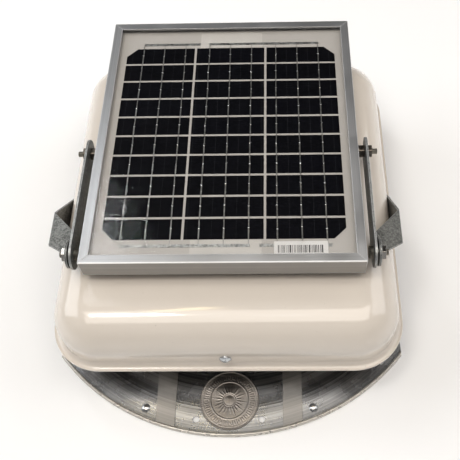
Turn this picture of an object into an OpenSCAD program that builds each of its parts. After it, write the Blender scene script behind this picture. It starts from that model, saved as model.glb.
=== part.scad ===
// Solar roof ventilator for a poultry house: a spun flange with a throat, a fan, a square weather hood
// and a small framed solar panel carried above the hood on two swinging side arms.
// Millimetres, +Z up, X right, Y to the back. Origin: centre of the flange underside.
// Bodies: base (root), arm_left, arm_right, panel, rotor.

/* [Flange] */
// Radius of the spun flange disc
flange_r = 174; // [150:1:200]
// Half width left after both sides of the disc are clipped straight
flange_clip = 133; // [120:1:170]
// Sheet thickness of the flange and the throat
sheet_t = 1.5; // [1:0.1:3]
// Radius of the circle of mounting holes
hole_circle_r = 165; // [140:1:190]
// Diameter of the mounting holes
hole_d = 4.8; // [3:0.1:8]
// Width of the pressed straps that run from the throat to the rim
strap_w = 14.6; // [8:0.2:30]
// Distance of each strap from the centre plane
strap_x = 47.6; // [30:0.2:80]
// Radius of the round badge
badge_r = 22.5; // [12:0.5:30]
// Distance of the badge from the flange centre
badge_y = 147; // [130:1:155]

/* [Throat] */
// Inside radius of the throat wall
throat_r = 96; // [80:1:110]
// Height of the throat rim above the flange underside
throat_h = 46; // [30:1:60]
// Outside radius of the flat rim on top of the throat
rim_r = 108; // [100:1:118]
// Radius of the opening in the flange, under the guard
opening_r = 92; // [80:1:95]

/* [Hood] */
// Half width of the hood, left to right
hood_w = 124; // [110:0.5:150]
// Half depth of the hood, front to back
hood_d = 132.5; // [110:0.5:160]
// Height of the hood top
hood_top = 84; // [70:1:110]
// Height of the lower edge of the hood
hood_z = 40; // [20:1:60]
// Wall thickness of the hood
hood_t = 2; // [1.2:0.1:4]
// Radius of the rounded edge between top and sides
edge_r = 26; // [10:1:30]
// Radius of the corners seen from above
corner_r = 33; // [27:1:60]
// How far the lower lip flares out
flare = 4; // [2:0.5:8]

/* [Cross straps and motor] */
// Width of the two crossing straps
cross_w = 24; // [16:1:40]
// Thickness of the crossing straps
cross_t = 2; // [1.5:0.1:4]
// Radius of the motor body
motor_r = 18; // [12:0.5:25]
// Length of the motor body
motor_h = 28; // [20:1:31]
// Radius of the motor shaft
shaft_r = 2.5; // [1.5:0.1:4]

/* [Fan] */
// Tip radius of the blades
fan_r = 89; // [60:1:92]
// Number of blades
blade_count = 5; // [3:1:8]
// Pitch of the blades in degrees
blade_pitch = 28; // [15:1:40]
// Height of the middle of the hub
fan_z = 28; // [20:1:34]

/* [Panel] */
// Panel width over the frame
panel_w = 195; // [150:1:250]
// Panel length over the frame
panel_l = 228; // [150:1:300]
// Depth of the frame
frame_h = 17; // [12:0.5:30]
// Height of the top face of the frame
panel_top = 110; // [100:1:140]
// Distance of the panel centre behind the flange centre
panel_y = 27.5; // [0:0.5:60]
// Width of the frame lip seen from above
lip_w = 6.5; // [4:0.1:12]
// Cell columns
cell_cols = 3; // [1:1:6]
// Cell rows
cell_rows = 10; // [1:1:20]
// Pitch of the cell rows
row_pitch = 18.45; // [10:0.05:30]
// Pitch of the cell columns
col_pitch = 57.4; // [20:0.1:80]
// Cell width
cell_w = 55.6; // [20:0.1:80]
// Distance between the middle ribbons of neighbouring columns
ribbon_pitch = 54.5; // [20:0.1:80]
// Cell height along the panel
cell_l = 16.6; // [8:0.1:30]

/* [Tilt arms and brackets] */
// Height of both hinge axes
hinge_z = 100; // [90:0.5:110]
// Position of the lower hinge, on the hood brackets
lower_y = -74; // [-100:0.5:-40]
// Position of the upper hinge, on the panel frame
upper_y = 12.5; // [0:0.5:40]
// Inner face of each arm, measured from the centre plane
arm_x = 103.2; // [100:0.1:115]
// Height of the arm strip
arm_h = 21.5; // [12:0.5:30]
// Thickness of the arms and brackets
plate_t = 1.5; // [1:0.1:3]
// Width of the folded bracket strip
bracket_w = 19.5; // [12:0.5:30]
// Shortening of the front edge of the bracket beside the hinge nut
bracket_cut = 7.8; // [0:0.1:12]
// Height of the level leg of the bracket
leg_top = 93.5; // [88:0.5:96]

/* [Hidden] */
$fn = 48;
inf = 400;
frame_z = panel_top - frame_h;
wall = 1.5;
glass_z = panel_top - 4.6;
back_z = glass_z - 0.8;
hx = panel_w / 2;
hy = panel_l / 2;
long_z = throat_h;
wide_z = throat_h + cross_t;
motor_z = throat_h + 2 * cross_t;
tab_x = arm_x + plate_t + 1.6;
fold_x = hood_w + plate_t;
run_in = fold_x - (tab_x + plate_t);
bend_y = lower_y + (hinge_z - leg_top + plate_t / 2);
fold_y = bend_y + run_in;
half_fold = bracket_w / sqrt(2);
front_y = bend_y - half_fold + bracket_cut;
rivet_1 = [fold_y + (leg_top - 56.5), 56.5];
rivet_2 = [fold_y + (leg_top - 51.5), 51.5];
screw_z = 53;
low_r = 2.4;
up_r = 2.1;
steel = [0.55, 0.56, 0.56];
alu = [0.78, 0.79, 0.80];
dark = [0.12, 0.12, 0.13];

// ---- helpers ----

// Mirror to the left side when s is -1.
module side(s) { mirror([s < 0 ? 1 : 0, 0, 0]) children(); }

// Cylinder along +X starting at x.
module rod_x(r, x, len) { translate([x, 0, 0]) rotate([0, 90, 0]) cylinder(r = r, h = len); }

// Cylinder along +Y starting at y.
module rod_y(r, y, len) { translate([0, y, 0]) rotate([-90, 0, 0]) cylinder(r = r, h = len); }

// Hexagon as a flat outline, af across the flats.
module hexagon(af) {
    r = af / 2 / cos(30);
    polygon([for (i = [0:5]) [r * cos(60 * i + 30), r * sin(60 * i + 30)]]);
}

// Hexagon nut along +X starting at x.
module nut_x(af, bore, x, len) {
    translate([x, 0, 0]) rotate([0, 90, 0]) linear_extrude(len) difference() {
        intersection() { hexagon(af); circle(r = af * 0.555); }
        circle(r = bore);
    }
}

// Disc outline of the flange, clipped at both sides.
module flange_outline(inset = 0) {
    intersection() {
        circle(r = flange_r - inset, $fn = 144);
        square([2 * (flange_clip - inset), 2 * flange_r + 2], center = true);
    }
}

// Positions on the hole circle, angles measured from the front.
module on_circle(angles, r = hole_circle_r) {
    for (a = angles) rotate(a) translate([0, -r, 0]) children();
}

// ---- base ----

module flange() {
    color(alu) {
        difference() {
            linear_extrude(sheet_t) flange_outline();
            translate([0, 0, -1]) cylinder(r = opening_r, h = 5, $fn = 120);
            on_circle([-45, 45, 135, 225]) translate([0, 0, -1]) cylinder(d = hole_d, h = 5);
            on_circle([-8.7, 8.7, 171.3, 188.7], hole_circle_r - 2)
                translate([0, 0, -1]) cylinder(d = hole_d, h = 5);
            on_circle([-22.5, 22.5, 157.5, 202.5]) translate([0, 0, -1]) cylinder(r = 2, h = 5);
        }
        // rolled rim on the round edges
        intersection() {
            translate([0, 0, 1.3]) rotate_extrude($fn = 144)
                translate([flange_r - 1.3, 0]) circle(r = 1.3, $fn = 20);
            translate([-flange_clip, -inf, 0]) cube([2 * flange_clip, 2 * inf, 4]);
        }
    }
}

module throat() {
    color(alu) rotate_extrude($fn = 120) difference() {
        union() {
            translate([throat_r, sheet_t]) square([sheet_t, throat_h - sheet_t]);
            translate([throat_r, throat_h - sheet_t]) square([rim_r - throat_r, sheet_t]);
            translate([throat_r + sheet_t, sheet_t]) square([6, 6]);
        }
        translate([throat_r + sheet_t + 6, sheet_t + 6]) circle(r = 6, $fn = 40);
    }
}

module base_straps() {
    color(alu) for (s = [-1, 1], t = [0, 1]) mirror([0, t, 0]) side(s) intersection() {
        translate([0, 0, sheet_t]) linear_extrude(1.2) difference() {
            circle(r = flange_r - 2.6, $fn = 144);
            circle(r = throat_r + sheet_t + 6.4, $fn = 120);
        }
        translate([strap_x - strap_w / 2, -inf, 0]) cube([strap_w, inf, 10]);
    }
}

module flange_rivets() {
    color(steel) on_circle([-22.5, 22.5, 157.5, 202.5]) {
        cylinder(r = 2, h = sheet_t);
        translate([0, 0, sheet_t]) intersection() {
            translate([0, 0, -3.1]) sphere(r = 4.6, $fn = 40);
            cylinder(r = 3.4, h = 3);
        }
    }
}

module badge() {
    color([0.6, 0.6, 0.58]) translate([0, -badge_y, sheet_t]) {
        cylinder(r = badge_r, h = 0.5, $fn = 96);
        for (r = [badge_r - 0.6, badge_r * 0.62, badge_r * 0.2]) difference() {
            cylinder(r = r + 0.4, h = 0.8, $fn = 96);
            translate([0, 0, -1]) cylinder(r = r - 0.4, h = 3, $fn = 96);
        }
        for (i = [0:15]) rotate(22.5 * i) translate([badge_r * 0.27, -0.35, 0.3])
            cube([badge_r * 0.27, 0.7, 0.45]);
    }
}

module guard() {
    color(steel) {
        for (r = [14, 33, 52, 70, 88]) translate([0, 0, sheet_t + 4.2]) rotate_extrude($fn = 96)
            translate([r, 0]) circle(r = 1.4, $fn = 20);
        for (i = [0:3]) rotate(45 * i + 22.5) translate([0, 0, sheet_t + 1.5]) rod_x(1.5, -95.4, 190.8);
    }
}

module guard_clips() {
    color(steel) for (i = [0:3]) rotate(90 * i + 22.5) translate([92.4, 0, sheet_t]) difference() {
        translate([-2.2, -5.5, 0]) cube([4.6, 11, 4.4]);
        translate([-3, -1.5, -1]) cube([7, 3, 2.5]);
        translate([-3, 0, 1.5]) rotate([0, 90, 0]) cylinder(r = 1.5, h = 7);
    }
}

module cross_strap_long() {
    end_y = hood_d - hood_t - 0.2;
    color(steel) difference() {
        union() {
            translate([-cross_w / 2, -end_y, long_z]) cube([cross_w, 2 * end_y, cross_t]);
            for (t = [0, 1]) mirror([0, t, 0])
                translate([-cross_w / 2, end_y - cross_t, long_z]) cube([cross_w, cross_t, 14]);
        }
        translate([0, 0, long_z - 1]) cylinder(r = 7, h = 5);
        for (x = [-8, 8], y = [-8, 8]) translate([x, y, long_z - 1]) cylinder(r = 1.5, h = 5);
        for (y = [-102, 102]) translate([0, y, long_z - 1]) cylinder(r = 2, h = 5);
        translate([0, 0, screw_z]) rod_y(1.9, -inf, 2 * inf);
    }
}

module cross_strap_wide() {
    end_x = hood_w - hood_t - 0.2;
    color(steel) difference() {
        union() {
            translate([-end_x, -cross_w / 2, wide_z]) cube([2 * end_x, cross_w, cross_t]);
            for (s = [-1, 1]) side(s)
                translate([end_x - cross_t, -20, wide_z]) cube([cross_t, 20 + cross_w / 2, 12]);
        }
        translate([0, 0, wide_z - 1]) cylinder(r = 7, h = 5);
        for (x = [-8, 8], y = [-8, 8]) translate([x, y, wide_z - 1]) cylinder(r = 1.5, h = 5);
        for (x = [-102, 102]) translate([x, 0, wide_z - 1]) cylinder(r = 2, h = 5);
        for (p = [rivet_1, rivet_2]) translate([0, p[0], p[1]]) rod_x(1.6, -inf, 2 * inf);
    }
}

// Rivets through the straps into the rim; the wide strap stands on a short collar.
module strap_rivets() {
    color(steel) {
        for (y = [-102, 102]) translate([0, y, throat_h]) {
            cylinder(r = 2, h = cross_t);
            translate([0, 0, cross_t]) cylinder(r = 3.6, h = 1.2);
        }
        for (x = [-102, 102]) translate([x, 0, throat_h]) {
            cylinder(r = 4.5, h = cross_t);
            cylinder(r = 2, h = 2 * cross_t);
            translate([0, 0, 2 * cross_t]) cylinder(r = 3.6, h = 1.2);
        }
    }
}

module motor_body() {
    color([0.5, 0.51, 0.52]) difference() {
        union() {
            translate([0, 0, motor_z]) rotate_extrude($fn = 72) difference() {
                square([motor_r, motor_h]);
                translate([motor_r - 1.5, motor_h]) rotate(45) square([4, 4], center = true);
            }
            translate([0, 0, motor_z - 5]) cylinder(r = 6.7, h = 6);
        }
        translate([0, 0, motor_z - 6]) cylinder(r = shaft_r + 0.05, h = motor_h + 2);
        for (x = [-8, 8], y = [-8, 8]) translate([x, y, motor_z - 1]) cylinder(r = 1.5, h = 6);
    }
}

module motor_cap() {
    color(dark) translate([0, 0, motor_z + motor_h]) {
        cylinder(r = 11, h = 2);
        for (x = [-6, 6]) translate([x - 0.4, -1.5, 0]) cube([0.8, 3, 3.6]);
    }
}

module motor_screws() {
    color(steel) for (x = [-8, 8], y = [-8, 8]) translate([x, y, 0]) {
        translate([0, 0, throat_h]) cylinder(r = 1.5, h = 2 * cross_t + 5);
        translate([0, 0, throat_h - 1.8]) cylinder(r = 2.8, h = 1.8);
    }
}

// Filled half section of the hood, e is the inset from the outer skin.
module dome2d(e, z0) {
    translate([0, z0]) square([corner_r - edge_r, hood_top - e - z0]);
    translate([0, z0]) square([corner_r - e, hood_top - edge_r - z0]);
    translate([corner_r - edge_r, hood_top - edge_r]) intersection() {
        circle(r = edge_r - e, $fn = 96);
        square(edge_r);
    }
}

// Section of the wall and the flared lip, x measured from the corner centre.
module hood_section() {
    difference() {
        union() {
            dome2d(0, hood_z);
            translate([corner_r - hood_t, hood_z]) square([hood_t + flare, flare + 2.2]);
            translate([corner_r + flare, hood_z + 1.3]) circle(r = 1.3, $fn = 24);
        }
        dome2d(hood_t, hood_z - 1);
        translate([corner_r + flare + 0.01, hood_z + flare + 2.2]) circle(r = flare, $fn = 48);
        translate([corner_r + flare + 0.01, hood_z + 2.6]) square([4, 6]);
    }
}

module hood() {
    cx = hood_w - corner_r;
    cy = hood_d - corner_r;
    color([0.93, 0.92, 0.89]) difference() {
        union() {
            for (q = [0:3]) translate([(q == 0 || q == 3 ? 1 : -1) * cx, (q < 2 ? 1 : -1) * cy, 0])
                rotate(90 * q) rotate_extrude(angle = 90, $fn = 96) hood_section();
            for (s = [-1, 1]) side(s) translate([cx, cy, 0])
                rotate([90, 0, 0]) linear_extrude(2 * cy) hood_section();
            for (t = [0, 1]) mirror([0, t, 0]) translate([-cx, cy, 0])
                rotate([90, 0, 90]) linear_extrude(2 * cx) hood_section();
            translate([-cx, -cy, hood_top - hood_t]) cube([2 * cx, 2 * cy, hood_t]);
        }
        translate([0, 0, screw_z]) rod_y(1.9, -inf, 2 * inf);
        for (p = [rivet_1, rivet_2]) translate([0, p[0], p[1]]) rod_x(1.6, -inf, 2 * inf);
        translate([32, 72, hood_top - 5]) cylinder(r = 5, h = 10);
    }
}

module hood_screws() {
    color(steel) for (t = [0, 1]) mirror([0, t, 0]) translate([0, 0, screw_z]) {
        rod_y(1.9, hood_d - 8, 8);
        difference() {
            translate([0, hood_d - 3.3, 0]) intersection() {
                sphere(r = 6.2, $fn = 48);
                rod_y(4.3, 3.3, 4);
            }
            for (a = [0, 90]) rotate([0, a, 0]) translate([-2.4, hood_d + 1.6, -0.45]) cube([4.8, 3, 0.9]);
        }
    }
}

module hood_grommet() {
    color(dark) translate([32, 72, 0]) difference() {
        union() {
            translate([0, 0, hood_top - hood_t - 1.6]) cylinder(r = 7.2, h = 1.6);
            translate([0, 0, hood_top - hood_t]) cylinder(r = 5, h = hood_t);
            translate([0, 0, hood_top]) cylinder(r = 7.2, h = 1.8);
        }
        translate([0, 0, hood_top - 10]) cylinder(r = 2.6, h = 20);
    }
}

// Folded strip: tab beside the arm, level leg outward and back, then down and back along the hood wall.
module hood_bracket(s) {
    color([0.60, 0.61, 0.60]) side(s) difference() {
        union() {
            // tab with a round end about the hinge
            translate([tab_x, 0, 0]) rotate([90, 0, 90]) linear_extrude(plate_t) {
                translate([lower_y, hinge_z]) circle(r = bracket_w / 2);
                polygon([[front_y, leg_top - plate_t], [bend_y + half_fold, leg_top - plate_t],
                    [lower_y + half_fold / 2, hinge_z + half_fold / 2],
                    [lower_y - half_fold / 2, hinge_z - half_fold / 2]]);
            }
            // level leg
            translate([0, 0, leg_top - plate_t]) linear_extrude(plate_t) polygon([
                [tab_x, front_y], [tab_x + plate_t, front_y],
                [fold_x, fold_y - half_fold], [fold_x, fold_y + half_fold],
                [tab_x + plate_t, bend_y + half_fold], [tab_x, bend_y + half_fold]]);
            // leg down the hood wall
            translate([hood_w, 0, 0]) rotate([90, 0, 90]) linear_extrude(plate_t) polygon([
                [fold_y - half_fold, leg_top], [fold_y + half_fold, leg_top],
                [fold_y + half_fold + leg_top - 49, 49], [fold_y - half_fold + leg_top - 49, 49]]);
        }
        translate([0, lower_y, hinge_z]) rod_x(low_r, tab_x - 1, 5);
        for (p = [rivet_1, rivet_2]) translate([0, p[0], p[1]]) rod_x(1.6, hood_w - 2, 8);
    }
}

module hood_bracket_left() { hood_bracket(-1); }
module hood_bracket_right() { hood_bracket(1); }

module bracket_rivets() {
    color(steel) for (s = [-1, 1], p = [rivet_1, rivet_2]) side(s) translate([0, p[0], p[1]]) {
        rod_x(1.6, hood_w - hood_t - 2.2, hood_t + plate_t + 2.6);
        translate([fold_x, 0, 0]) rotate([0, 90, 0]) rotate_extrude() intersection() {
            translate([0, -1.9]) circle(r = 3.5, $fn = 64);
            square([4, 2]);
        }
    }
}

// Hinge screws of the arms: pan head inside the arm, shank through arm and tab.
module lower_screws() {
    color([0.45, 0.43, 0.40]) for (s = [-1, 1]) side(s) translate([0, lower_y, hinge_z]) {
        rod_x(low_r, arm_x - 0.3, 10.4);
        rod_x(4.4, arm_x - 3, 2.7);
    }
}

// Washer between arm and tab, nut outside the tab.
module lower_nuts() {
    color([0.45, 0.43, 0.40]) for (s = [-1, 1]) side(s) translate([0, lower_y, hinge_z]) {
        nut_x(9.5, low_r, tab_x + plate_t, 3.6);
        difference() {
            rod_x(4.8, tab_x - 1.3, 1.3);
            rod_x(low_r, tab_x - 2, 3);
        }
    }
}

// ---- arms ----

module tilt_arm(s) {
    color([0.50, 0.51, 0.51]) side(s) difference() {
        translate([arm_x, 0, 0]) rotate([90, 0, 90]) linear_extrude(plate_t) {
            translate([lower_y, hinge_z]) circle(r = arm_h / 2);
            translate([lower_y, hinge_z - arm_h / 2]) square([upper_y - lower_y, arm_h]);
            translate([upper_y, hinge_z]) circle(r = arm_h / 2);
        }
        translate([0, lower_y, hinge_z]) rod_x(low_r + 0.05, arm_x - 1, 5);
        translate([0, upper_y, hinge_z]) rod_x(up_r + 0.05, arm_x - 1, 5);
    }
}

module tilt_arm_left() { tilt_arm(-1); }
module tilt_arm_right() { tilt_arm(1); }

// ---- panel ----

// Rail section, x is the distance inward from the outer face, y is height.
module rail_section() {
    translate([0, frame_z]) square([wall, frame_h]);
    translate([0, panel_top - 1.4]) square([lip_w, 1.4]);
    translate([0, back_z - 1.2]) square([lip_w, 1.2]);
    translate([0, frame_z]) square([12, 1.3]);
}

// Rail along X, outer face at y = -d, mitred at both ends.
module rail(half, d) {
    intersection() {
        translate([half, -d, 0]) rotate([90, 0, -90]) linear_extrude(2 * half)
            mirror([1, 0]) rail_section();
        linear_extrude(inf) polygon([[-half, -d], [half, -d], [half - 20, -d + 20], [-half + 20, -d + 20]]);
    }
}

module frame_rail_front() { color(alu) translate([0, panel_y, 0]) rail(hx, hy); }
module frame_rail_back() { color(alu) translate([0, panel_y, 0]) rotate(180) rail(hx, hy); }

module side_rail(a) {
    color(alu) difference() {
        translate([0, panel_y, 0]) rotate(a) rail(hy, hx);
        translate([0, upper_y, hinge_z]) rod_x(up_r, -inf, 2 * inf);
    }
}

module frame_rail_left() { side_rail(-90); }
module frame_rail_right() { side_rail(90); }

module plate(w, l, z, t) { translate([-w / 2, panel_y - l / 2, z]) cube([w, l, t]); }

module cover_glass() {
    color([0.75, 0.8, 0.85, 0.4]) plate(panel_w - 2 * wall - 1, panel_l - 2 * wall - 1, glass_z, 3.2);
}

module backsheet() {
    color([0.92, 0.91, 0.88]) plate(panel_w - 2 * wall - 1, panel_l - 2 * wall - 1, back_z, 0.4);
}

function col_x(i) = (i - (cell_cols - 1) / 2) * col_pitch;
function row_y(j) = panel_y - 2 + (j - (cell_rows - 1) / 2) * row_pitch;

module cells() {
    color([0.04, 0.04, 0.08]) translate([0, 0, back_z + 0.4]) linear_extrude(0.2) intersection() {
        for (i = [0:cell_cols - 1], j = [0:cell_rows - 1])
            translate([col_x(i), row_y(j)]) square([cell_w, cell_l], center = true);
        ax = col_x(cell_cols - 1) + cell_w / 2;
        y0 = row_y(0) - cell_l / 2;
        y1 = row_y(cell_rows - 1) + cell_l / 2;
        c = 8.5;
        polygon([[-ax + c, y0], [ax - c, y0], [ax, y0 + c], [ax, y1 - c],
            [ax - c, y1], [-ax + c, y1], [-ax, y1 - c], [-ax, y0 + c]]);
    }
}

module cell_ribbons() {
    y0 = row_y(0) - cell_l / 2 - 4.4;
    y1 = row_y(cell_rows - 1) + cell_l / 2 + 4;
    color([0.8, 0.8, 0.8]) for (i = [0:cell_cols - 1], k = [-1:1])
        translate([(i - (cell_cols - 1) / 2) * ribbon_pitch + k * 17.3 - 0.45, y0, back_z + 0.6])
            cube([0.9, y1 - y0, 0.1]);
}

module bus_tapes() {
    y0 = row_y(0) - cell_l / 2 - 6.2;
    y1 = row_y(cell_rows - 1) + cell_l / 2 + 3.4;
    color([0.78, 0.78, 0.78]) translate([0, 0, back_z + 0.45]) {
        translate([-72, y1, 0]) cube([47, 2.4, 0.15]);
        translate([-18, y1, 0]) cube([90.5, 2.4, 0.15]);
        translate([-72, y0, 0]) cube([90.5, 2.4, 0.15]);
        translate([25, y0, 0]) cube([50, 2.4, 0.15]);
    }
}

module bar_label() {
    color([0.95, 0.95, 0.93]) translate([53.5, panel_y - 101.6, back_z + 0.7]) linear_extrude(0.1)
        square([37, 12.4], center = true);
}

module junction_box() {
    color(dark) translate([0, 92, 0]) difference() {
        translate([-32, -24, frame_z + 2.4]) cube([64, 48, back_z - frame_z - 2.4]);
        difference() {
            translate([-30, -22, frame_z + 1]) cube([60, 44, back_z - frame_z - 2.6]);
            lid_posts(3.2, frame_z, 20);
        }
        lid_posts(1.2, frame_z, 5.4);
        translate([0, 0, 99]) rod_y(3.4, -26, 6);
    }
}

module lid_posts(r, z, h) {
    for (x = [-28.6, 28.6], y = [-20.6, 20.6]) translate([x, y, z]) cylinder(r = r, h = h);
}

module junction_lid() {
    color([0.16, 0.16, 0.17]) translate([0, 92, frame_z + 0.8]) difference() {
        translate([-32, -24, 0]) cube([64, 48, 1.6]);
        lid_posts(1.2, -1, 4);
    }
}

module lid_screws() {
    color(steel) translate([0, 92, frame_z + 0.4]) {
        lid_posts(1.2, 0, 5);
        lid_posts(2.1, 0, 0.4);
    }
}

module cable_inlet() {
    color(dark) translate([0, 92, 99]) difference() {
        union() {
            rod_y(3.4, -24, 2.4);
            rod_y(4.8, -27, 3);
        }
        rod_y(2, -30, 12);
    }
}

// Upper hinge: screw from inside the rail, spacer nut, then the arm, then the lock nut.
module upper_screws() {
    color([0.45, 0.43, 0.40]) for (s = [-1, 1]) side(s) translate([0, upper_y, hinge_z]) {
        rod_x(up_r, hx - wall - 0.2, 16.8);
        rod_x(2.9, hx - wall - 2.2, 2.2);
    }
}

module spacer_nuts() {
    color([0.40, 0.37, 0.34]) for (s = [-1, 1]) side(s) translate([0, upper_y, hinge_z]) {
        nut_x(8.7, up_r, hx + 1.2, arm_x - hx - 1.5);
        difference() {
            rod_x(5, hx, 1.2);
            rod_x(up_r, hx - 1, 4);
        }
    }
}

module lock_nuts() {
    color([0.40, 0.37, 0.34]) for (s = [-1, 1]) side(s) translate([0, upper_y, hinge_z])
        nut_x(8.7, up_r, arm_x + plate_t + 0.3, 3.5);
}

// ---- rotor ----

module shaft() {
    color(steel) translate([0, 0, fan_z - 9]) cylinder(r = shaft_r, h = motor_z + motor_h + 3 - fan_z);
}

module fan_hub() {
    color(dark) translate([0, 0, fan_z]) difference() {
        rotate_extrude($fn = 72) difference() {
            translate([0, -8]) square([20, 16]);
            translate([shaft_r + 3, -9]) square([14.5 - shaft_r, 12]);
            translate([20, -8]) rotate(45) square([2.4, 2.4], center = true);
        }
        translate([0, 0, -20]) cylinder(r = shaft_r, h = 40);
        translate([0, 0, -4]) rod_x(1.25, 0, 30);
    }
}

module fan_blades() {
    color(dark) difference() {
        for (i = [0:blade_count - 1]) rotate(i * 360 / blade_count) translate([0, 0, fan_z])
            rotate([blade_pitch, 0, 0]) translate([0, 0, -0.9]) linear_extrude(1.8) intersection() {
                circle(r = fan_r, $fn = 144);
                translate([54, -36]) circle(r = 62, $fn = 96);
                translate([56, 33]) circle(r = 57, $fn = 96);
            }
        translate([0, 0, fan_z - 30]) cylinder(r = 20, h = 60, $fn = 72);
        difference() {
            translate([0, 0, fan_z - 30]) cylinder(r = fan_r + 20, h = 60, $fn = 72);
            translate([0, 0, fan_z - 31]) cylinder(r = fan_r, h = 62, $fn = 144);
        }
    }
}

module hub_screw() {
    color(steel) translate([0, 0, fan_z - 4]) rod_x(1.25, shaft_r, 2.9);
}

flange();
throat();
base_straps();
flange_rivets();
badge();
guard();
guard_clips();
cross_strap_long();
cross_strap_wide();
strap_rivets();
motor_body();
motor_cap();
motor_screws();
hood();
hood_screws();
hood_grommet();
hood_bracket_left();
hood_bracket_right();
bracket_rivets();
lower_screws();
lower_nuts();
tilt_arm_left();
tilt_arm_right();
frame_rail_front();
frame_rail_back();
frame_rail_left();
frame_rail_right();
cover_glass();
cells();
cell_ribbons();
bus_tapes();
backsheet();
bar_label();
junction_box();
junction_lid();
lid_screws();
cable_inlet();
upper_screws();
spacer_nuts();
lock_nuts();
shaft();
fan_hub();
fan_blades();
hub_screw();
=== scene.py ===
import math
import random

import bmesh
import bpy
from mathutils import Matrix, Vector


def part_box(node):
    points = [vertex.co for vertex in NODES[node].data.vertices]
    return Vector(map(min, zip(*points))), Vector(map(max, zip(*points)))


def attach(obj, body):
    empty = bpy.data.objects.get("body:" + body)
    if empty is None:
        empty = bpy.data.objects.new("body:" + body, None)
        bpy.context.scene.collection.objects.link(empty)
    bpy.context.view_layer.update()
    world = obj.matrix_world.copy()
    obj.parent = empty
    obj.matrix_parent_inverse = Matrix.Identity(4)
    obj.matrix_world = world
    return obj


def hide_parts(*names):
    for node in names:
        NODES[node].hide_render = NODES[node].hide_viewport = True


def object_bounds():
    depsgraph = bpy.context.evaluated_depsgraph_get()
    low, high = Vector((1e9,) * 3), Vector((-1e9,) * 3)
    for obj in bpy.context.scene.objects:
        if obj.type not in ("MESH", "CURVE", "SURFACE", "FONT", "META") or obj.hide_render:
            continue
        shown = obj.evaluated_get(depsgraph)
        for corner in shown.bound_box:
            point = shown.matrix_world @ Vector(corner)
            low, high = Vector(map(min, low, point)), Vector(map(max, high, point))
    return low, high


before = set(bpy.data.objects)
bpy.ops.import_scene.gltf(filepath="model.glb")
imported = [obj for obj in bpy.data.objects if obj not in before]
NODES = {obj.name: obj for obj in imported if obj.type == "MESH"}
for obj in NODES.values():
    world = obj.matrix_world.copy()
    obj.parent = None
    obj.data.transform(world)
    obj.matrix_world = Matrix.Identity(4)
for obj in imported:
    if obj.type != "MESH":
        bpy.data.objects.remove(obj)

CAD_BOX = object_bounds()
MM = 0.001

# Cell layout on the panel.
ROW_PITCH = 18.45 * MM
CELL_LENGTH = 16.6 * MM
COLUMN_PITCH = 57.4 * MM
RIBBON_GROUP_PITCH = 54.5 * MM
RIBBON_PITCH = 17.3 * MM
FINGER_PITCH = 1.85 * MM

CELLS_LOW, CELLS_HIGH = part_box("cells")
ROW_CENTRE = (CELLS_LOW.y + CELLS_HIGH.y + ROW_PITCH) / 2

# Outer faces of the panel frame.
PANEL_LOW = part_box("frame_rail_left")[0]
PANEL_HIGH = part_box("frame_rail_right")[1]
PANEL_MIDDLE = (PANEL_LOW + PANEL_HIGH) / 2
PANEL_HALF = (PANEL_HIGH - PANEL_LOW) / 2


# ---- camera ----

LENS = 53.85913
SHIFT = (-0.0695652, -0.0173913)
CAMERA_PLACE = (0.0376, -0.3026, 0.5161)
CAMERA_TURN = (-0.5473, -0.0239, -0.0045)


def rotation(rx, ry, rz):
    return Matrix.Rotation(rx, 3, "X") @ Matrix.Rotation(ry, 3, "Y") @ Matrix.Rotation(rz, 3, "Z")


def make_camera():
    data = bpy.data.cameras.new("camera")
    data.sensor_width = 36.0
    data.lens = LENS
    data.shift_x, data.shift_y = SHIFT
    data.clip_start = 0.01
    camera = bpy.data.objects.new("camera", data)
    turn = rotation(*CAMERA_TURN).transposed()
    camera.matrix_world = Matrix.Translation(CAMERA_PLACE) @ turn.to_4x4()
    bpy.context.scene.collection.objects.link(camera)
    bpy.context.scene.camera = camera


make_camera()
bpy.context.scene.view_settings.view_transform = "Standard"


# ---- shader helper ----

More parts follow.
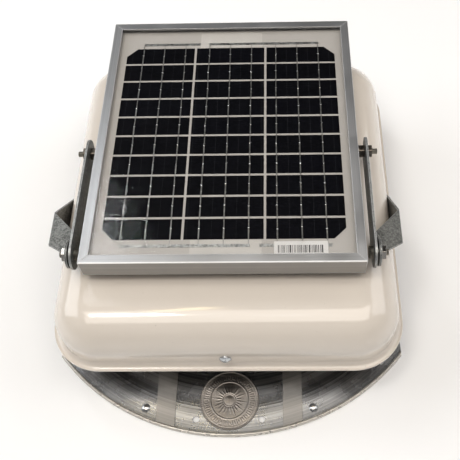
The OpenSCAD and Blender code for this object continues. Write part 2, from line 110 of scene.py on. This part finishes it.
class Shader:
    """One node material. Arguments are numbers, colours or sockets; results are sockets."""

    def __init__(self, name):
        self.material = bpy.data.materials.new(name)
        self.material.use_nodes = True
        self.tree = self.material.node_tree
        self.tree.nodes.clear()
        self.place = self.add("TexCoord").outputs["Object"]
        split = self.add("SeparateXYZ", Vector=self.place)
        self.x, self.y, self.z = split.outputs

    def put(self, socket, value):
        if isinstance(value, bpy.types.NodeSocket):
            self.tree.links.new(value, socket)
        else:
            if socket.type == "RGBA" and len(value) == 3:
                value = (*value, 1.0)
            socket.default_value = value

    def add(self, kind, settings=None, **inputs):
        node = self.tree.nodes.new("ShaderNode" + kind)
        for key, value in (settings or {}).items():
            setattr(node, key, value)
        for key, value in inputs.items():
            self.put(node.inputs[key.replace("_", " ")], value)
        return node

    def math(self, operation, a, b=None):
        node = self.add("Math", {"operation": operation})
        for i, value in enumerate((a, b)):
            if value is not None:
                self.put(node.inputs[i], value)
        return node.outputs[0]

    def scaled(self, sx, sy, sz):
        node = self.add("VectorMath", {"operation": "MULTIPLY"})
        self.put(node.inputs[0], self.place)
        self.put(node.inputs[1], (sx, sy, sz))
        return node.outputs[0]

    def noise(self, scale, detail=2.0, rough=0.5, at=None, shift=0.0):
        node = self.add("TexNoise", {"noise_dimensions": "4D"}, Scale=scale, Detail=detail,
                        Roughness=rough, Vector=at or self.place, W=shift)
        return node.outputs["Fac"]

    def noise_1d(self, value, scale, detail=2.0, rough=0.5):
        node = self.add("TexNoise", {"noise_dimensions": "1D"}, Scale=scale, Detail=detail,
                        Roughness=rough, W=value)
        return node.outputs["Fac"]

    def cells(self, scale):
        return self.add("TexVoronoi", None, Scale=scale, Vector=self.place).outputs["Color"]

    def remap(self, value, low, high, to_low=0.0, to_high=1.0):
        node = self.add("MapRange", {"clamp": True}, Value=value, From_Min=low, From_Max=high,
                        To_Min=to_low, To_Max=to_high)
        return node.outputs[0]

    def mix(self, share, a, b):
        node = self.add("Mix", {"data_type": "RGBA"})
        self.put(node.inputs["Factor"], share)
        self.put(node.inputs[6], a)
        self.put(node.inputs[7], b)
        return node.outputs[2]

    def bevel(self, radius):
        return self.add("Bevel", {"samples": 4}, Radius=radius).outputs[0]

    def edge(self, radius, full=0.9):
        """1 on sharp edges, 0 on open faces."""
        geometry = self.add("NewGeometry").outputs["True Normal"]
        dot = self.add("VectorMath", {"operation": "DOT_PRODUCT"})
        self.put(dot.inputs[0], self.bevel(radius))
        self.put(dot.inputs[1], geometry)
        return self.remap(dot.outputs["Value"], 0.995, full)

    def bump(self, height, distance, normal=None, strength=1.0):
        node = self.add("Bump", None, Height=height, Distance=distance, Strength=strength)
        if normal is not None:
            self.put(node.inputs["Normal"], normal)
        return node.outputs[0]

    def tilted(self, pattern, amount, normal):
        """Normal turned a little to a random side in each cell of the pattern."""
        lean = self.add("VectorMath", {"operation": "MULTIPLY_ADD"})
        for i, value in enumerate((pattern, (amount,) * 3, (-amount / 2,) * 3)):
            self.put(lean.inputs[i], value)
        total = self.add("VectorMath", {"operation": "ADD"})
        self.put(total.inputs[0], lean.outputs[0])
        self.put(total.inputs[1], normal)
        unit = self.add("VectorMath", {"operation": "NORMALIZE"})
        self.put(unit.inputs[0], total.outputs[0])
        return unit.outputs[0]

    def radius(self):
        squares = self.math("ADD", self.math("MULTIPLY", self.x, self.x),
                            self.math("MULTIPLY", self.y, self.y))
        return self.math("SQRT", squares)

    def done(self, **inputs):
        shader = self.add("BsdfPrincipled", None, **inputs)
        output = self.add("OutputMaterial")
        self.tree.links.new(shader.outputs[0], output.inputs["Surface"])
        return self.material


# ---- materials ----

def spun_aluminium(name, light, dark, groove, rough):
    s = Shader(name)
    r = s.radius()
    drift = s.noise(14, 2)
    along = s.math("ADD", r, s.math("MULTIPLY", drift, 0.0012))
    fine = s.noise_1d(along, 1500, 2, 0.6)
    coarse = s.noise_1d(along, 520, 3, 0.75)
    band = s.noise_1d(along, 95, 2, 0.6)
    smear = s.noise(35, 4, 0.6)
    tone = s.math("ADD", s.math("MULTIPLY", band, 0.55), s.math("MULTIPLY", coarse, 0.45))
    colour = s.mix(s.remap(tone, 0.40, 0.62), dark, light)
    colour = s.mix(s.remap(smear, 0.45, 0.8, 0, 0.30), colour, (0.36, 0.355, 0.35))
    height = s.math("ADD", s.math("MULTIPLY", coarse, 0.7), s.math("MULTIPLY", fine, 0.3))
    normal = s.bump(height, groove, s.bevel(0.0004))
    tangent = s.add("Tangent", {"direction_type": "RADIAL", "axis": "Z"}).outputs[0]
    # Painted highlight on the rolled rim: a lighter colour and lower metallic stand in for a reflection of
    # bright surroundings
    painted_rim_highlight = s.remap(r, 171.1 * MM, 171.6 * MM)
    colour = s.mix(painted_rim_highlight, colour, (0.60, 0.57, 0.52))
    return s.done(Base_Color=colour, Metallic=s.remap(painted_rim_highlight, 0, 1, 1.0, 0.6),
                  Roughness=s.remap(smear, 0.3, 0.75, rough - 0.05, rough + 0.1),
                  Anisotropic=0.55, Tangent=tangent, Normal=normal)


def galvanised(name, light, dark, spangle, rough=0.42, streak=(60, 60, 900)):
    s = Shader(name)
    spot = s.cells(spangle)
    grain = s.noise(1.0, 3, 0.6, at=s.scaled(*streak))
    cloud = s.noise(60, 4, 0.6)
    edge_mask = s.edge(0.0006)
    tone = s.math("ADD", s.math("MULTIPLY", s.add("SeparateColor", None, Color=spot).outputs[0], 0.5),
                  s.math("MULTIPLY", cloud, 0.6))
    tone = s.math("ADD", tone, s.math("MULTIPLY", grain, 0.25))
    colour = s.mix(s.remap(tone, 0.35, 1.0), dark, light)
    # Sharp edges are lightened towards pale grey
    colour = s.mix(s.math("MULTIPLY", edge_mask, 0.7), colour, (0.80, 0.80, 0.80))
    rust = s.remap(s.noise(90, 5, 0.7, shift=3.0), 0.68, 0.8, 0, 0.35)
    colour = s.mix(rust, colour, (0.22, 0.17, 0.12))
    normal = s.bump(grain, 0.00001, s.bump(s.noise(1300, 3), 0.000012, s.bevel(0.0004)))
    return s.done(Base_Color=colour, Metallic=0.85, Normal=normal,
                  Roughness=s.remap(tone, 0.3, 1.0, rough + 0.12, rough - 0.08))


def plated(name, light, dark, rough, thread=0.0):
    s = Shader(name)
    cloud = s.noise(260, 4, 0.65)
    edge_mask = s.edge(0.0004)
    colour = s.mix(s.remap(cloud, 0.35, 0.7), dark, light)
    # Sharp edges are lightened
    colour = s.mix(s.math("MULTIPLY", edge_mask, 0.65), colour, tuple(min(1, c * 1.5) for c in light))
    normal = s.bump(s.noise(1200, 3), 0.00003, s.bevel(0.0003))
    if thread:
        wave = s.math("PINGPONG", s.x, thread / 2)
        normal = s.bump(s.math("DIVIDE", wave, thread / 2), 0.0003, normal)
    return s.done(Base_Color=colour, Metallic=1.0, Normal=normal,
                  Roughness=s.remap(cloud, 0.3, 0.75, rough - 0.07, rough + 0.12))


def hood_paint():
    s = Shader("hood_paint")
    tint = s.noise(9, 3, 0.5)
    speck = s.remap(s.noise(700, 1, 0.4, shift=5.0), 0.755, 0.79, 0, 0.35)
    edge_mask = s.edge(0.0006, 0.8)
    colour = s.mix(s.remap(tint, 0.35, 0.65), (0.690, 0.625, 0.550), (0.710, 0.647, 0.575))
    colour = s.mix(speck, colour, (0.42, 0.37, 0.31))
    chip = s.math("MULTIPLY", edge_mask, s.remap(s.noise(160, 4, 0.7), 0.56, 0.66))
    colour = s.mix(s.math("MULTIPLY", chip, 0.5), colour, (0.50, 0.47, 0.43))
    scratch = s.noise(1.0, 2, 0.5, at=s.scaled(28, 760, 760), shift=2.0)
    line = s.remap(scratch, 0.78, 0.80, 0, 1)
    wave = s.noise(38, 2, 0.4)
    peel = s.noise(330, 2, 0.45)
    normal = s.bump(wave, 0.00022)
    normal = s.bump(peel, 0.000011, normal)
    normal = s.bump(line, 0.00002, normal)
    dust = s.noise(24, 5, 0.6, shift=1.0)
    return s.done(Base_Color=colour, Roughness=s.remap(dust, 0.35, 0.75, 0.10, 0.20), Normal=normal,
                  Coat_Weight=0.6, Coat_Roughness=0.05, Specular_IOR_Level=0.5)


def anodised(name, axis):
    s = Shader(name)
    stretch = {"X": (3, 1500, 1500), "Y": (1500, 3, 1500)}[axis]
    line = s.noise(1.0, 3, 0.6, at=s.scaled(*stretch))
    broad = s.noise(1.0, 2, 0.6, at=s.scaled(*[min(v, 260) for v in stretch]), shift=2.0)
    cloud = s.noise(40, 3, 0.55)
    edge_mask = s.edge(0.0006)
    tone = s.math("ADD", s.math("MULTIPLY", line, 0.4), s.math("MULTIPLY", broad, 0.6))
    colour = s.mix(s.remap(tone, 0.35, 0.65), (0.42, 0.425, 0.435), (0.56, 0.565, 0.575))
    # Painted shade: faces turned to the front (-Y) are darkened towards dark grey
    facing = s.add("SeparateXYZ", None, Vector=s.add("NewGeometry").outputs["True Normal"]).outputs[1]
    colour = s.mix(s.remap(facing, -0.5, -0.9, 0, 0.55), colour, (0.17, 0.165, 0.155))
    across = s.math("SUBTRACT", PANEL_HALF.x, s.math("ABSOLUTE", s.x))
    from_middle = s.math("ABSOLUTE", s.math("SUBTRACT", s.y, PANEL_MIDDLE.y))
    along = s.math("SUBTRACT", PANEL_HALF.y, from_middle)
    off_corner = s.math("ABSOLUTE", s.math("SUBTRACT", across, along))
    mitre = s.remap(off_corner, 0.12 * MM, 0.24 * MM, 0.85, 0)
    colour = s.mix(mitre, colour, (0.04, 0.04, 0.042))
    # Sharp edges go near-white and less metallic: partly edge wear, partly painted highlight
    colour = s.mix(s.math("MULTIPLY", edge_mask, 0.9), colour, (0.95, 0.95, 0.96))
    normal = s.bump(line, 0.00001, s.bevel(0.0007))
    if axis == "X":
        # Painted highlight: a near-white, less metallic line along the front top edge of the frame
        from_front = s.math("ABSOLUTE", s.math("SUBTRACT", s.y, PANEL_LOW.y))
        from_top = s.math("ABSOLUTE", s.math("SUBTRACT", s.z, PANEL_HIGH.z))
        painted_edge_highlight = s.remap(s.math("MAXIMUM", from_front, from_top), 0.6 * MM, 1.0 * MM, 1, 0)
        edge_mask = s.math("MAXIMUM", edge_mask, painted_edge_highlight)
        colour = s.mix(painted_edge_highlight, colour, (0.97, 0.97, 0.97))
    metal = s.math("SUBTRACT", 0.9, s.math("MULTIPLY", edge_mask, 0.75))
    return s.done(Base_Color=colour, Metallic=metal, Roughness=s.remap(cloud, 0.35, 0.7, 0.34, 0.46),
                  Normal=normal)


def pebbled_glass():
    s = Shader("panel_glass")
    pebble = s.noise(760, 2, 0.5)
    fine = s.noise(1500, 1, 0.5, shift=4.0)
    height = s.math("ADD", s.math("MULTIPLY", pebble, 0.75), s.math("MULTIPLY", fine, 0.25))
    normal = s.tilted(s.cells(1800), 0.115, s.bump(height, 0.00004))
    geometry = s.add("NewGeometry")
    facing = s.add("SeparateXYZ", None, Vector=geometry.outputs["Normal"]).outputs[2]
    outer = s.math("SUBTRACT", 1.0, geometry.outputs["Backfacing"])
    top = s.math("MULTIPLY", s.remap(facing, 0.3, 0.6), outer)
    grime = s.remap(s.noise(30, 5, 0.65), 0.3, 0.8, 0.03, 0.09)
    fresnel = s.add("Fresnel", None, IOR=1.45, Normal=normal).outputs[0]
    clear = s.add("BsdfTransparent", None, Color=(0.982, 0.986, 0.984)).outputs[0]
    gloss = s.add("BsdfGlossy", None, Color=(1.0, 1.0, 1.0), Roughness=grime, Normal=normal).outputs[0]
    both = s.add("MixShader")
    s.put(both.inputs[0], s.math("MULTIPLY", fresnel, top))
    s.tree.links.new(clear, both.inputs[1])
    s.tree.links.new(gloss, both.inputs[2])
    output = s.add("OutputMaterial")
    s.tree.links.new(both.outputs[0], output.inputs["Surface"])
    return s.material


def silicon():
    s = Shader("silicon")
    column = s.math("ROUND", s.math("DIVIDE", s.x, COLUMN_PITCH))
    row = s.math("ROUND", s.math("DIVIDE", s.math("SUBTRACT", s.y, ROW_CENTRE), ROW_PITCH))
    spot = s.add("CombineXYZ", None, X=column, Y=row, Z=0.0)
    chance = s.add("TexWhiteNoise", None, Vector=spot.outputs[0]).outputs["Value"]
    beside = s.math("SUBTRACT", s.x, s.math("MULTIPLY", column, RIBBON_GROUP_PITCH))
    share = s.math("FRACT", s.math("DIVIDE", s.math("ADD", beside, 100 * RIBBON_PITCH), RIBBON_PITCH))
    thin = s.math("LESS_THAN", s.math("ABSOLUTE", s.math("SUBTRACT", share, 0.5)), 0.009)
    step = s.math("FRACT", s.math("DIVIDE", s.math("ADD", s.y, 1.0), FINGER_PITCH))
    dotted = s.math("MULTIPLY", thin, s.math("GREATER_THAN", step, 0.55))
    finger = s.math("LESS_THAN", step, 0.06)
    cloud = s.noise(120, 3, 0.6)
    colour = s.mix(s.remap(cloud, 0.3, 0.7), (0.0006, 0.0006, 0.0012), (0.0014, 0.0014, 0.0028))
    colour = s.mix(s.math("MULTIPLY", chance, 0.5), colour, (0.0016, 0.0016, 0.004))
    colour = s.mix(s.math("MULTIPLY", finger, 0.02), colour, (0.30, 0.31, 0.33))
    colour = s.mix(s.math("MULTIPLY", dotted, 0.07), colour, (0.40, 0.40, 0.44))
    return s.done(Base_Color=colour, Specular_IOR_Level=0.05,
                  Roughness=s.remap(cloud, 0.3, 0.7, 0.40, 0.52),
                  Normal=s.bump(s.noise(2500, 2), 0.00001))


def tinned(name, light, dark, crinkle):
    s = Shader(name)
    cloud = s.noise(300, 4, 0.7)
    fold = s.noise(1.0, 3, 0.6, at=s.scaled(900, 500, 500))
    colour = s.mix(s.remap(cloud, 0.35, 0.7), dark, light)
    normal = s.bump(fold, crinkle)
    return s.done(Base_Color=colour, Metallic=0.9, Normal=normal,
                  Roughness=s.remap(cloud, 0.3, 0.7, 0.28, 0.42))


def sheet(name, light, dark, scale, rough, grain):
    s = Shader(name)
    cloud = s.noise(scale, 4, 0.6)
    fibre = s.noise(1600, 3, 0.6)
    colour = s.mix(s.remap(cloud, 0.35, 0.65), dark, light)
    return s.done(Base_Color=colour, Roughness=s.remap(fibre, 0.3, 0.7, rough - 0.08, rough + 0.08),
                  Normal=s.bump(fibre, grain))


def moulded(name, light, dark, rough, grain, radial=False):
    s = Shader(name)
    pattern = s.noise_1d(s.radius(), 420, 2) if radial else s.noise(60, 3, 0.6)
    leather = s.noise(1400, 3, 0.6)
    edge_mask = s.edge(0.0007)
    dust = s.noise(22, 5, 0.65, shift=6.0)
    colour = s.mix(s.remap(pattern, 0.3, 0.7), dark, light)
    # Sharp edges are lightened towards dark grey
    colour = s.mix(s.math("MULTIPLY", edge_mask, 0.35), colour, (0.16, 0.16, 0.165))
    colour = s.mix(s.remap(dust, 0.5, 0.85, 0, 0.18), colour, (0.30, 0.28, 0.25))
    return s.done(Base_Color=colour, Roughness=s.remap(leather, 0.3, 0.7, rough - 0.06, rough + 0.08),
                  Normal=s.bump(leather, grain, s.bevel(0.0005)))


LOOKS = {
    "flange": spun_aluminium("spun_aluminium", (0.41, 0.422, 0.44), (0.115, 0.119, 0.125), 0.00009, 0.26),
    "strap": spun_aluminium("strap_aluminium", (0.29, 0.282, 0.27), (0.19, 0.184, 0.176), 0.00003, 0.42),
    "throat": spun_aluminium("throat_aluminium", (0.62, 0.62, 0.63), (0.42, 0.42, 0.43), 0.00004, 0.30),
    "badge": spun_aluminium("badge_metal", (0.265, 0.243, 0.22), (0.15, 0.139, 0.13), 0.00002, 0.32),
    "rivet": plated("rivet_metal", (0.80, 0.79, 0.77), (0.62, 0.61, 0.60), 0.24),
    "wire": plated("zinc_wire", (0.66, 0.67, 0.69), (0.46, 0.47, 0.49), 0.32),
    "galvanised": galvanised("galvanised", (0.27, 0.275, 0.265), (0.085, 0.088, 0.085), 1100, 0.50),
    "arm": galvanised("arm_steel", (0.44, 0.45, 0.44), (0.20, 0.205, 0.20), 1100, 0.46, (900, 14, 900)),
    "motor": plated("motor_metal", (0.50, 0.51, 0.53), (0.34, 0.35, 0.37), 0.34),
    "screw": plated("screw_steel", (0.66, 0.68, 0.70), (0.42, 0.44, 0.46), 0.22),
    "bronze": plated("bronze_steel", (0.24, 0.21, 0.175), (0.10, 0.088, 0.075), 0.32),
    "nut": plated("nut_steel", (0.44, 0.42, 0.39), (0.21, 0.20, 0.185), 0.20),
    "stud": plated("threaded_steel", (0.40, 0.37, 0.31), (0.18, 0.165, 0.14), 0.30, 0.0008),
    "paint": hood_paint(),
    "frame_x": anodised("anodised_frame_x", "X"),
    "frame_y": anodised("anodised_frame_y", "Y"),
    "glass": pebbled_glass(),
    "silicon": silicon(),
    "ribbon": tinned("tinned_ribbon", (0.46, 0.455, 0.44), (0.25, 0.245, 0.24), 0.00004),
    "tape": tinned("bus_tape", (0.70, 0.70, 0.69), (0.20, 0.20, 0.195), 0.0005),
    "solder": plated("solder", (0.80, 0.80, 0.79), (0.60, 0.60, 0.59), 0.2),
    "backsheet": sheet("backsheet", (0.455, 0.425, 0.40), (0.43, 0.40, 0.375), 25, 0.5, 0.00001),
    "patch": sheet("insulation", (0.55, 0.52, 0.49), (0.515, 0.485, 0.455), 60, 0.45, 0.00001),
    "label": sheet("label", (0.68, 0.66, 0.645), (0.65, 0.63, 0.615), 40, 0.5, 0.00001),
    "ink": sheet("ink", (0.03, 0.028, 0.03), (0.05, 0.045, 0.048), 300, 0.55, 0.00001),
    "plastic": moulded("black_plastic", (0.028, 0.028, 0.03), (0.018, 0.018, 0.019), 0.42, 0.00003),
    "fan": moulded("fan_plastic", (0.030, 0.031, 0.033), (0.020, 0.020, 0.021), 0.36, 0.00002, True),
    "rubber": moulded("black_rubber", (0.024, 0.023, 0.022), (0.014, 0.014, 0.013), 0.62, 0.00005),
}

FINISH = {
    "flange": ["flange"], "throat": ["throat"], "strap": ["base_straps"], "rivet": ["flange_rivets"],
    "wire": ["guard", "guard_clips"],
    "galvanised": ["cross_strap_long", "cross_strap_wide", "hood_bracket_left", "hood_bracket_right"],
    "arm": ["tilt_arm_left", "tilt_arm_right"],
    "motor": ["motor_body"], "plastic": ["motor_cap", "junction_box", "junction_lid"],
    "screw": ["strap_rivets", "bracket_rivets", "motor_screws", "hood_screws", "lid_screws", "hub_screw",
              "shaft"],
    "bronze": ["spacer_nuts", "lock_nuts"], "nut": ["lower_nuts"], "stud": ["lower_screws", "upper_screws"],
    "paint": ["hood"], "rubber": ["hood_grommet", "cable_inlet"],
    "frame_x": ["frame_rail_front", "frame_rail_back"], "frame_y": ["frame_rail_left", "frame_rail_right"],
    "glass": ["cover_glass"], "silicon": ["cells"], "ribbon": ["cell_ribbons"], "tape": ["bus_tapes"],
    "backsheet": ["backsheet"], "label": ["bar_label"], "fan": ["fan_hub", "fan_blades"],
    "badge": ["badge"],
}
for look, names in FINISH.items():
    for name in names:
        NODES[name].data.materials.clear()
        NODES[name].data.materials.append(LOOKS[look])


# ---- pieces ----

def piece(name, mesh, look, body, smooth=False):
    """Make an object from a bmesh, with its look, body and material slot."""
    data = bpy.data.meshes.new(name)
    bmesh.ops.recalc_face_normals(mesh, faces=mesh.faces)
    mesh.to_mesh(data)
    mesh.free()
    data.materials.append(LOOKS[look])
    for polygon in data.polygons:
        polygon.use_smooth = smooth
    made = bpy.data.objects.new(name, data)
    bpy.context.scene.collection.objects.link(made)
    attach(made, body)
    return made


def prism(mesh, outline, low, high):
    """Closed prism over a flat outline, from height low to high."""
    bottom = [mesh.verts.new((x, y, low)) for x, y in outline]
    top = [mesh.verts.new((x, y, high)) for x, y in outline]
    mesh.faces.new(list(reversed(bottom)))
    mesh.faces.new(top)
    n = len(outline)
    for i in range(n):
        j = (i + 1) % n
        mesh.faces.new((bottom[i], bottom[j], top[j], top[i]))


def rounded(x0, x1, y0, y1, r, steps=5):
    """Outline of a rectangle with round corners."""
    points = []
    corners = ((x1 - r, y1 - r, 0), (x0 + r, y1 - r, 90), (x0 + r, y0 + r, 180), (x1 - r, y0 + r, 270))
    for cx, cy, start in corners:
        for k in range(steps + 1):
            a = math.radians(start + 90 * k / steps)
            points.append((cx + r * math.cos(a), cy + r * math.sin(a)))
    return points


def badge_height(r, a):
    """Height of the pressed seal over its base, in mm: rings, beads, ticks and a plain sunburst."""
    def ring(centre, width, high):
        return high * max(0.0, 1 - abs(r - centre) / width) ** 0.6
    high = max(ring(21.9, 0.5, 0.30), ring(14.2, 0.45, 0.26), ring(20.0, 0.3, 0.12), ring(4.6, 0.4, 0.2))
    bead = 20.95
    pitch = 2 * math.pi / 92
    off = (a % pitch - pitch / 2) * bead
    high = max(high, 0.22 * max(0.0, 1 - math.hypot(off, r - bead) / 0.5))
    if 15.3 < r < 19.4:
        k = int(a // (2 * math.pi / 64))
        reach = (0.4, 0.9, 0.65, 1.0)[k % 4]
        inside = abs(r - 17.35) < 2.0 * reach
        off = abs(a % (2 * math.pi / 64) - math.pi / 64) * r
        if inside and off < 0.38:
            high = max(high, 0.24 * (1 - off / 0.38) ** 0.5)
    if 5.4 < r < 13.2:
        k = int(a // (2 * math.pi / 24))
        tip = 13.2 if k % 2 else 10.4
        if r < tip:
            half = 0.85 * (tip - r) / (tip - 5.4) + 0.1
            off = abs(a % (2 * math.pi / 24) - math.pi / 24) * r
            if off < half:
                high = max(high, 0.26 * (1 - off / half) ** 0.7)
    if r < 4.2:
        high = max(high, 0.22 * (1 - (r / 4.2) ** 2) + 0.04)
    return high


def make_badge():
    """Pressed round seal with rings and a plain sunburst."""
    low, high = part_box("badge")
    cx, cy = (low.x + high.x) / 2, (low.y + high.y) / 2
    outer = (high.x - low.x) / 2
    rings, spokes = 96, 576
    mesh = bmesh.new()
    centre = mesh.verts.new((cx, cy, low.z + (0.45 + badge_height(0, 0)) * MM))
    loops = []
    for i in range(1, rings + 1):
        r = outer / MM * i / rings
        row = []
        for j in range(spokes):
            a = 2 * math.pi * j / spokes
            z = 0.45 + badge_height(min(r, 22.4), a)
            if i == rings:
                z = 0.35
            x, y = cx + r * MM * math.cos(a), cy + r * MM * math.sin(a)
            row.append(mesh.verts.new((x, y, low.z + z * MM)))
        loops.append(row)
    foot = [mesh.verts.new((v.co.x, v.co.y, low.z)) for v in loops[-1]]
    for j in range(spokes):
        k = (j + 1) % spokes
        mesh.faces.new((centre, loops[0][j], loops[0][k]))
        for i in range(rings - 1):
            mesh.faces.new((loops[i][j], loops[i + 1][j], loops[i + 1][k], loops[i][k]))
        mesh.faces.new((loops[-1][j], foot[j], foot[k], loops[-1][k]))
    mesh.faces.new(foot)
    made = piece("badge_seal", mesh, "badge", "base", True)
    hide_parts("badge")


def make_ribbons():
    """Nine flat ribbons, wide on the cells and pinched in the gaps, each with a small jog per cell."""
    low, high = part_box("cell_ribbons")
    draw = random.Random(11)
    mesh = bmesh.new()
    dots = bmesh.new()
    for column in (-1, 0, 1):
        for k in (-1, 0, 1):
            centre = column * RIBBON_GROUP_PITCH + k * RIBBON_PITCH
            spine = [(low.y, 0.0, 0.24), (CELLS_LOW.y - 0.4 * MM, 0.0, 0.24)]
            for row in range(10):
                y0 = CELLS_LOW.y + row * ROW_PITCH
                jog = draw.uniform(-0.14, 0.14) * MM
                kink = draw.uniform(-0.10, 0.10) * MM
                split = y0 + CELL_LENGTH * draw.uniform(0.50, 0.60)
                end = y0 + CELL_LENGTH
                spine += [(y0 + 0.2 * MM, jog, 0.36), (y0 + 0.9 * MM, jog, 0.46), (split, jog + kink, 0.46),
                          (split + 0.8 * MM, jog + kink, 0.38), (end - 0.9 * MM, jog - kink, 0.36),
                          (end - 0.1 * MM, jog - kink, 0.30)]
                if row < 9:
                    spine.append((end + 0.9 * MM, 0.0, 0.26))
                bmesh.ops.create_uvsphere(
                    dots, u_segments=12, v_segments=6, radius=0.62 * MM,
                    matrix=Matrix.Translation((centre + jog + kink, split + draw.uniform(-0.3, 0.3) * MM,
                                               high.z - 0.02 * MM)) @ Matrix.Diagonal((1, 1.25, 0.16, 1)))
            spine += [(CELLS_HIGH.y + 0.4 * MM, 0.0, 0.24), (high.y, 0.0, 0.24)]
            left = [(centre + x - w * MM, y) for y, x, w in spine]
            right = [(centre + x + w * MM, y) for y, x, w in spine]
            rows = []
            for (xa, y), (xb, _) in zip(left, right):
                rows.append([mesh.verts.new(p) for p in ((xa, y, low.z), (xb, y, low.z), (xb, y, high.z),
                                                         (xa, y, high.z))])
            for a, b in zip(rows, rows[1:]):
                for i in range(4):
                    j = (i + 1) % 4
                    mesh.faces.new((a[i], a[j], b[j], b[i]))
            mesh.faces.new(rows[0])
            mesh.faces.new(list(reversed(rows[-1])))
    made = piece("ribbons", mesh, "ribbon", "panel")
    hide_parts("cell_ribbons")
    piece("solder_dots", dots, "solder", "panel", True)


def make_patches():
    """Two pale strips of insulation under the ends of the bus tapes."""
    low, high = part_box("backsheet")
    mesh = bmesh.new()
    top = high.z + 0.04 * MM
    inset, corner = 5.4 * MM, 0.4 * MM
    front = rounded(-23 * MM, 26.4 * MM, low.y + inset, CELLS_LOW.y - 0.5 * MM, corner)
    back = rounded(-25 * MM, 26 * MM, CELLS_HIGH.y + 0.7 * MM, high.y - inset, corner)
    prism(mesh, front, high.z, top)
    prism(mesh, back, high.z, top)
    piece("insulation_strips", mesh, "patch", "panel")


def make_bars():
    """Plain bars printed on the label."""
    low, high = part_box("bar_label")
    draw = random.Random(5)
    mesh = bmesh.new()
    x, stop = low.x + 2.6 * MM, low.x + 34.4 * MM
    y0, y1 = low.y + 3.4 * MM, low.y + 9.4 * MM
    while x < stop:
        width = draw.choice((0.35, 0.35, 0.6, 0.9)) * MM
        outline = [(x, y0), (x + width, y0), (x + width, y1), (x, y1)]
        prism(mesh, outline, high.z - 0.01 * MM, high.z + 0.01 * MM)
        x += width + draw.choice((0.4, 0.4, 0.6, 0.9)) * MM
    piece("label_bars", mesh, "ink", "panel")


make_badge()
make_ribbons()
make_patches()
make_bars()


# ---- floor and light ----

def make_floor():
    s = Shader("floor")
    cloud = s.noise(3, 3, 0.5)
    colour = s.mix(s.remap(cloud, 0.3, 0.7), (0.93, 0.93, 0.93), (0.95, 0.95, 0.95))
    material = s.done(Base_Color=colour, Roughness=0.9, Specular_IOR_Level=0.1)
    mesh = bmesh.new()
    bmesh.ops.create_grid(mesh, x_segments=1, y_segments=1, size=6.0)
    data = bpy.data.meshes.new("floor")
    mesh.to_mesh(data)
    mesh.free()
    data.materials.append(material)
    floor = bpy.data.objects.new("floor", data)
    floor.location.z = CAD_BOX[0][2] - 0.0003
    bpy.context.scene.collection.objects.link(floor)


def area(name, place, aim, width, depth, power, colour=(1, 1, 1)):
    data = bpy.data.lights.new(name, "AREA")
    data.shape = "RECTANGLE"
    data.size, data.size_y = width, depth
    data.energy = power
    data.color = colour
    lamp = bpy.data.objects.new(name, data)
    lamp.location = place
    lamp.rotation_euler = (Vector(aim) - Vector(place)).to_track_quat("-Z", "Y").to_euler()
    bpy.context.scene.collection.objects.link(lamp)


def make_world():
    """Dim above the back, where the panel glass mirrors it, and pale at the horizon."""
    world = bpy.data.worlds.new("studio")
    bpy.context.scene.world = world
    world.use_nodes = True
    tree = world.node_tree
    node = tree.nodes.new
    place = node("ShaderNodeTexCoord").outputs["Generated"]
    split = node("ShaderNodeSeparateXYZ")
    tree.links.new(place, split.inputs[0])
    low = node("ShaderNodeMapRange")
    low.interpolation_type = "SMOOTHSTEP"
    for name, value in (("From Min", 0.04), ("From Max", 0.24), ("To Min", 0.55), ("To Max", 0.035)):
        low.inputs[name].default_value = value
    tree.links.new(split.outputs[2], low.inputs["Value"])
    front = node("ShaderNodeMapRange")
    front.interpolation_type = "SMOOTHSTEP"
    for name, value in (("From Min", 0.1), ("From Max", -0.9), ("To Min", 0.0), ("To Max", 0.12)):
        front.inputs[name].default_value = value
    tree.links.new(split.outputs[1], front.inputs["Value"])
    both = node("ShaderNodeMath")
    tree.links.new(low.outputs[0], both.inputs[0])
    tree.links.new(front.outputs[0], both.inputs[1])
    background = tree.nodes["Background"]
    background.inputs["Color"].default_value = (0.95, 0.97, 1.0, 1)
    tree.links.new(both.outputs[0], background.inputs["Strength"])


make_floor()
make_world()
area("key", (0.05, -0.38, 2.3), (0, 0, 0), 2.4, 1.5, 34, (1.0, 0.93, 0.85))
area("back_left", (-1.75, 0.45, 1.25), (0, 0, 0), 1.6, 1.5, 20, (0.94, 0.97, 1.0))
area("back_right", (1.9, 0.6, 1.7), (0, 0, 0), 2.2, 1.8, 22, (0.98, 0.985, 1.0))
area("window", (-0.50, 0.57, 1.1), (-0.05, 0, 0.1), 0.09, 0.32, 1.3, (0.95, 0.97, 1.0))
area("lamp_white", (-0.39, -0.17, 1.5), (0, 0, 0), 0.24, 0.30, 2.6, (1.0, 0.99, 0.97))
area("lamp_warm", (-0.23, 0.21, 1.5), (0, 0, 0), 0.26, 0.07, 0.5, (1.0, 0.80, 0.45))
area("lamp_small", (0.05, -0.24, 1.5), (0, 0, 0), 0.16, 0.05, 0.06, (0.9, 0.95, 1.0))
